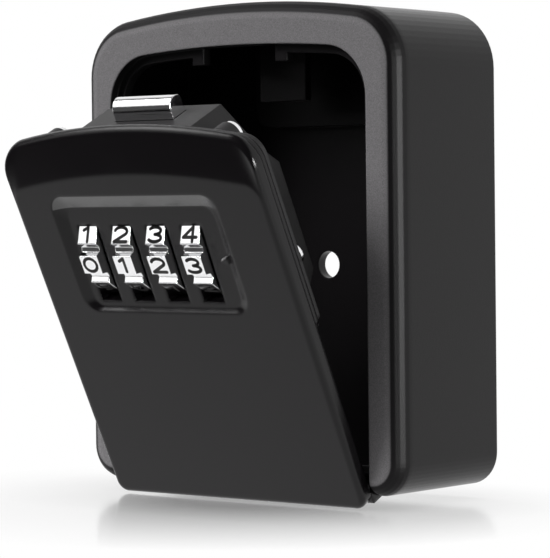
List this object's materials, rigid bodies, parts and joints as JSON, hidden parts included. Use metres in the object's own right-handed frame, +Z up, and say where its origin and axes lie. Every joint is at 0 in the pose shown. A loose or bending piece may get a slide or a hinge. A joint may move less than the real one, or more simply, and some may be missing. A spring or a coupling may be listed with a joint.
{
  "type": "combination lock box",
  "caption": "Wall-mounted key safe with an arched cast box, a bottom-hinged door standing part open, a row of number dials in a sunken window and a press latch.",
  "frame": {"origin": "middle of the flat back face that lies on the wall", "axes": "+X to the right of the box seen from the front, +Y back into the wall, +Z up"},
  "size_m": [0.095, 0.0791, 0.1167],
  "materials": {
    "box_coat": "black powder coat, fine grain on the front frame",
    "door_coat": "black satin powder coat",
    "cover_plastic": "black moulded, fine texture",
    "chrome": "bright plated",
    "steel": "plain drawn steel",
    "brass": "machined"
  },
  "bodies": {
    "housing": {"body_shell": "box_coat", "hinge_pin": "steel"},
    "door": {"door_shell": "door_coat", "lock_cover": "cover_plastic", "cover_screws": "chrome", "dial_axle": "steel", "axle_clip": "steel", "latch_springs": "steel", "sleeve_return_spring": "steel", "detent_spring": "steel", "detent_rivets": "steel"},
    "latch": {"latch": "chrome"},
    "reset": {"reset_lever": "steel"},
    "dial_1": {"dial_1": "chrome"},
    "dial_2": {"dial_2": "chrome"},
    "dial_3": {"dial_3": "chrome"},
    "dial_4": {"dial_4": "chrome"},
    "code_sleeve_1": {"code_sleeve_1": "brass"},
    "code_sleeve_2": {"code_sleeve_2": "brass"},
    "code_sleeve_3": {"code_sleeve_3": "brass"},
    "code_sleeve_4": {"code_sleeve_4": "brass"}
  },
  "joints": [
    {"name": "door_hinge", "type": "hinge", "parent": "housing", "child": "door", "pos_m": [0, -0.03, -0.0542], "axis": [1, 0, 0], "range_deg": [-26.44, 63.56]},
    {"name": "latch_press", "type": "slide", "parent": "door", "child": "latch", "axis": [0, -0.4453, 0.8954], "range_m": [-0.0024, 0], "stiffness_N_per_m": 900, "springref_m": 0.004, "deforming": ["latch_springs"]},
    {"name": "reset_shift", "type": "slide", "parent": "door", "child": "reset", "axis": [-1, 0, 0], "range_m": [0, 0.0013], "stiffness_N_per_m": 400, "springref_m": -0.004, "deforming": ["sleeve_return_spring"]},
    {"name": "dial_1_spin", "type": "hinge", "parent": "door", "child": "dial_1", "pos_m": [0, -0.05754, 0.00118], "axis": [1, 0, 0], "continuous": true, "deforming": ["detent_spring"]},
    {"name": "dial_2_spin", "type": "hinge", "parent": "door", "child": "dial_2", "pos_m": [0, -0.05754, 0.00118], "axis": [1, 0, 0], "continuous": true},
    {"name": "dial_3_spin", "type": "hinge", "parent": "door", "child": "dial_3", "pos_m": [0, -0.05754, 0.00118], "axis": [1, 0, 0], "continuous": true},
    {"name": "dial_4_spin", "type": "hinge", "parent": "door", "child": "dial_4", "pos_m": [0, -0.05754, 0.00118], "axis": [1, 0, 0], "continuous": true},
    {"name": "code_sleeve_1_shift", "type": "slide", "parent": "dial_1", "child": "code_sleeve_1", "axis": [-1, 0, 0], "range_m": [0, 0.0013]},
    {"name": "code_sleeve_2_shift", "type": "slide", "parent": "dial_2", "child": "code_sleeve_2", "axis": [-1, 0, 0], "range_m": [0, 0.0013]},
    {"name": "code_sleeve_3_shift", "type": "slide", "parent": "dial_3", "child": "code_sleeve_3", "axis": [-1, 0, 0], "range_m": [0, 0.0013]},
    {"name": "code_sleeve_4_shift", "type": "slide", "parent": "dial_4", "child": "code_sleeve_4", "axis": [-1, 0, 0], "range_m": [0, 0.0013]}
  ],
  "couplings": [
    {"joint": "code_sleeve_1_shift", "follows": "reset_shift", "ratio": 1},
    {"joint": "code_sleeve_2_shift", "follows": "reset_shift", "ratio": 1},
    {"joint": "code_sleeve_3_shift", "follows": "reset_shift", "ratio": 1},
    {"joint": "code_sleeve_4_shift", "follows": "reset_shift", "ratio": 1}
  ]
}
